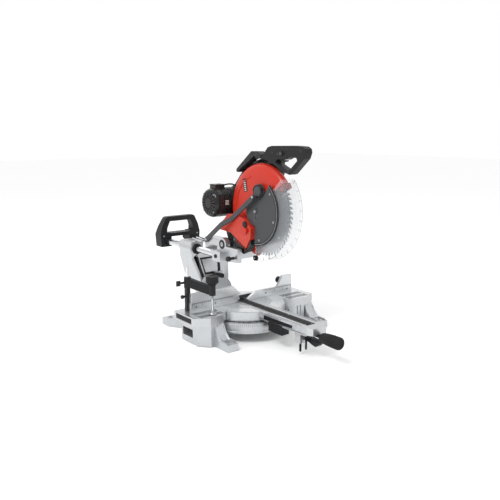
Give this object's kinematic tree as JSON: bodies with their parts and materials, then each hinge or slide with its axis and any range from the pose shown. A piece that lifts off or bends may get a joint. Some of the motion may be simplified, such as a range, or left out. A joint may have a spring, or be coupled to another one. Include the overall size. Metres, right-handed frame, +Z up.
{
  "type": "sliding compound mitre saw",
  "caption": "Bench mitre saw with a sliding, tilting head on two rails, a turning table with a front arm, a split fence, a work clamp and guarded circular blade.",
  "frame": {"origin": "centre of the bounding box's bottom face, on the floor under the feet", "axes": "+X to the operator's right, +Y towards the rear, +Z up; the operator stands at -Y"},
  "size_m": [0.532, 0.96, 0.657],
  "materials": {
    "cast_aluminium": "fine-grained silver-grey casting",
    "chrome": "polished",
    "steel": "ground steel",
    "red_paint": "semi-gloss red",
    "black_plastic": "fine matt texture",
    "dark_grey": "satin dark grey",
    "clear_plastic": "clear plastic",
    "copper": "wound copper and laminations",
    "rubber": "matt"
  },
  "bodies": {
    "base": {"base_casting": "cast_aluminium", "miter_scale": "steel", "fence_fixed": "cast_aluminium", "clamp_post": "dark_grey", "clamp_rod": "chrome"},
    "turntable": {"turntable_casting": "cast_aluminium", "kerf_plate_left": "black_plastic", "kerf_plate_right": "black_plastic", "detent_housing": "black_plastic", "arm_bolt_rear": "black_plastic", "arm_bolt_front": "black_plastic", "bevel_trunnion": "cast_aluminium"},
    "miter_lock": {"miter_lock_rod": "steel", "miter_lock_grip": "black_plastic"},
    "detent": {"detent_lever": "black_plastic"},
    "fence_left": {"fence_upper_left": "cast_aluminium"},
    "fence_right": {"fence_upper_right": "cast_aluminium"},
    "fence_knob": {"fence_knob_right": "black_plastic"},
    "clamp_swing": {"clamp_arm": "dark_grey"},
    "clamp_wing": {"clamp_wing_screw": "black_plastic"},
    "clamp_post_lock": {"clamp_post_knob": "black_plastic"},
    "clamp_turn": {"clamp_knob": "black_plastic"},
    "clamp_lift": {"clamp_screw": "steel"},
    "column": {"column_casting": "cast_aluminium", "bush_left": "black_plastic", "bush_right": "black_plastic"},
    "bevel_lock": {"bevel_lock_lever": "black_plastic"},
    "slide_lock": {"slide_lock_knob": "black_plastic"},
    "carriage": {"rail_left": "chrome", "rail_right": "chrome", "rear_handle": "black_plastic", "hinge_bracket": "cast_aluminium", "hinge_shaft": "steel", "torsion_spring": "steel"},
    "link": {"link_bar": "dark_grey"},
    "lock_pin": {"head_lock_pin": "black_plastic"},
    "head": {"head_arm": "black_plastic", "upper_guard": "red_paint", "guard_visor": "red_paint", "arm_shroud": "black_plastic", "motor_housing": "black_plastic", "motor_end_cap": "black_plastic", "motor_lead": "rubber", "handle_d": "black_plastic", "handle_carry": "black_plastic", "belt_cover": "black_plastic", "drive_belt": "rubber"},
    "trigger_piece": {"trigger": "black_plastic"},
    "lock_off": {"lock_off_button": "dark_grey"},
    "spindle_stop": {"spindle_lock": "dark_grey"},
    "rotor": {"motor_rotor": "copper"},
    "arbor": {"blade": "steel", "arbor_spindle": "steel", "arbor_bolt": "steel"},
    "guard": {"lower_guard": "clear_plastic", "cover_plate": "dark_grey"},
    "roller": {"guard_roller": "rubber"}
  },
  "joints": [
    {"name": "turntable_turn", "type": "hinge", "parent": "base", "child": "turntable", "pos_m": [0.004, -0.008, 0.09], "axis": [0, 0, -1], "range_deg": [-45, 45]},
    {"name": "miter_lock_turn", "type": "hinge", "parent": "turntable", "child": "miter_lock", "pos_m": [0.004, -0.406, 0.076], "axis": [0, 1, 0], "range_deg": [0, 120]},
    {"name": "detent_squeeze", "type": "hinge", "parent": "turntable", "child": "detent", "pos_m": [0.004, -0.315, 0.057], "axis": [1, 0, 0], "range_deg": [-8, 0], "stiffness_Nm_per_rad": 2, "springref_deg": 17.19},
    {"name": "fence_left_slide", "type": "slide", "parent": "base", "child": "fence_left", "axis": [-1, 0, 0], "range_m": [0, 0.06]},
    {"name": "fence_right_slide", "type": "slide", "parent": "base", "child": "fence_right", "axis": [1, 0, 0], "range_m": [0, 0.06]},
    {"name": "fence_knob_turn", "type": "hinge", "parent": "fence_right", "child": "fence_knob", "pos_m": [0.188, 0.014, 0.15], "axis": [0, 1, 0], "range_deg": [0, 180]},
    {"name": "clamp_arm_swing", "type": "hinge", "parent": "base", "child": "clamp_swing", "pos_m": [-0.223, 0.012, 0.2], "axis": [0, 0, -1], "range_deg": [-25, 60]},
    {"name": "clamp_wing_turn", "type": "hinge", "parent": "clamp_swing", "child": "clamp_wing", "pos_m": [-0.246, 0.012, 0.205], "axis": [1, 0, 0], "continuous": true},
    {"name": "clamp_post_knob_turn", "type": "hinge", "parent": "base", "child": "clamp_post_lock", "pos_m": [-0.241, 0.012, 0.157], "axis": [1, 0, 0], "continuous": true},
    {"name": "clamp_knob_turn", "type": "hinge", "parent": "clamp_swing", "child": "clamp_turn", "pos_m": [-0.181, -0.074, 0.22], "axis": [0, 0, 1], "range_deg": [0, 1080]},
    {"name": "clamp_screw_lift", "type": "slide", "parent": "clamp_swing", "child": "clamp_lift", "axis": [0, 0, 1], "range_m": [0, 0.0125]},
    {"name": "bevel_tilt", "type": "hinge", "parent": "turntable", "child": "column", "pos_m": [0.004, 0.184, 0.105], "axis": [0, -1, 0], "range_deg": [-45, 33]},
    {"name": "bevel_lock_swing", "type": "hinge", "parent": "turntable", "child": "bevel_lock", "pos_m": [0.008, 0.144, 0.17], "axis": [0, 1, 0], "range_deg": [-40, 40]},
    {"name": "slide_lock_turn", "type": "hinge", "parent": "column", "child": "slide_lock", "pos_m": [0.094, 0.274, 0.272], "axis": [1, 0, 0], "range_deg": [0, 180]},
    {"name": "rail_slide", "type": "slide", "parent": "column", "child": "carriage", "axis": [0, 1, 0], "range_m": [-0.08, 0.11]},
    {"name": "head_lower", "type": "hinge", "parent": "carriage", "child": "head", "pos_m": [0.004, 0.042, 0.311], "axis": [1, 0, 0], "range_deg": [0, 57], "stiffness_Nm_per_rad": 8, "springref_deg": -126.05},
    {"name": "link_swing", "type": "hinge", "parent": "carriage", "child": "link", "pos_m": [-0.056, 0.13, 0.318], "axis": [1, 0, 0], "range_deg": [0, 35]},
    {"name": "lock_pin_pull", "type": "slide", "parent": "carriage", "child": "lock_pin", "axis": [1, 0, 0], "range_m": [-0.012, 0]},
    {"name": "guard_retract", "type": "hinge", "parent": "head", "child": "guard", "pos_m": [0.004, -0.106, 0.44], "axis": [1, 0, 0], "range_deg": [-101, 0]},
    {"name": "blade_spin", "type": "hinge", "parent": "head", "child": "arbor", "pos_m": [0.004, -0.106, 0.44], "axis": [1, 0, 0], "continuous": true},
    {"name": "motor_spin", "type": "hinge", "parent": "head", "child": "rotor", "pos_m": [0.004, 0.108, 0.452], "axis": [1, 0, 0], "continuous": true},
    {"name": "roller_spin", "type": "hinge", "parent": "guard", "child": "roller", "pos_m": [-0.028, -0.11011, 0.28305], "axis": [1, 0, 0], "continuous": true},
    {"name": "trigger_squeeze", "type": "slide", "parent": "head", "child": "trigger_piece", "axis": [0, 0, 1], "range_m": [0, 0.005], "stiffness_N_per_m": 400, "springref_m": -0.002},
    {"name": "lock_off_press", "type": "slide", "parent": "head", "child": "lock_off", "axis": [1, 0, 0], "range_m": [0, 0.003], "stiffness_N_per_m": 400, "springref_m": -0.002},
    {"name": "spindle_lock_press", "type": "slide", "parent": "head", "child": "spindle_stop", "axis": [1, 0, 0], "range_m": [0, 0.004], "stiffness_N_per_m": 400, "springref_m": -0.002}
  ],
  "couplings": [
    {"joint": "guard_retract", "follows": "head_lower", "ratio": -1.754},
    {"joint": "link_swing", "follows": "head_lower", "ratio": 0.609},
    {"joint": "motor_spin", "follows": "blade_spin", "ratio": 2},
    {"joint": "clamp_screw_lift", "follows": "clamp_knob_turn", "m_per_rad": 0.00063662}
  ]
}
